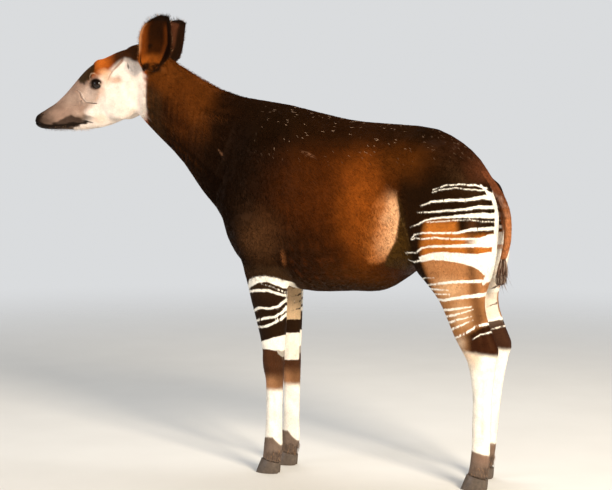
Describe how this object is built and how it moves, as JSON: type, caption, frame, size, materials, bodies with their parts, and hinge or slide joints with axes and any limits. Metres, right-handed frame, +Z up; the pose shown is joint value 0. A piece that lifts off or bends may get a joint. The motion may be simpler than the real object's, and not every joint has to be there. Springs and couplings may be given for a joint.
{
  "type": "okapi",
  "caption": "Life-size standing okapi cow as a still museum model, with striped haunches, large cupped ears and a tufted tail.",
  "frame": {"origin": "on the floor, under the middle of the animal's bounding box", "axes": "+Z up, the animal faces -X, its left side is at -Y"},
  "size_m": [2.0824, 0.4748, 1.86],
  "materials": {
    "head": "short pale hair, white cheeks and a dark muzzle",
    "neck": "short glossy chestnut hair",
    "torso": "short glossy dark chocolate hair",
    "foreleg_left": "short hair in dark and white bands",
    "foreleg_right": "short hair in dark and white bands",
    "hindleg_left": "short hair in dark and white stripes",
    "hindleg_right": "short hair in dark and white stripes",
    "eye_left": "polished, near black",
    "eye_right": "polished, near black",
    "ear_left": "thin, chestnut inside with a dark rim",
    "ear_right": "thin, chestnut inside with a dark rim",
    "tail": "short reddish brown hair",
    "tail_tuft": "long dark hair",
    "hoof_foreleg_left_inner": "dull dark horn",
    "hoof_foreleg_left_outer": "dull dark horn",
    "hoof_foreleg_right_inner": "dull dark horn",
    "hoof_foreleg_right_outer": "dull dark horn",
    "hoof_hindleg_left_inner": "dull dark horn",
    "hoof_hindleg_left_outer": "dull dark horn",
    "hoof_hindleg_right_inner": "dull dark horn",
    "hoof_hindleg_right_outer": "dull dark horn"
  },
  "bodies": {
    "root": {"head": "head", "neck": "neck", "torso": "torso", "foreleg_left": "foreleg_left", "foreleg_right": "foreleg_right", "hindleg_left": "hindleg_left", "hindleg_right": "hindleg_right", "eye_left": "eye_left", "eye_right": "eye_right", "ear_left": "ear_left", "ear_right": "ear_right", "tail": "tail", "tail_tuft": "tail_tuft", "hoof_foreleg_left_inner": "hoof_foreleg_left_inner", "hoof_foreleg_left_outer": "hoof_foreleg_left_outer", "hoof_foreleg_right_inner": "hoof_foreleg_right_inner", "hoof_foreleg_right_outer": "hoof_foreleg_right_outer", "hoof_hindleg_left_inner": "hoof_hindleg_left_inner", "hoof_hindleg_left_outer": "hoof_hindleg_left_outer", "hoof_hindleg_right_inner": "hoof_hindleg_right_inner", "hoof_hindleg_right_outer": "hoof_hindleg_right_outer"}
  },
  "joints": []
}
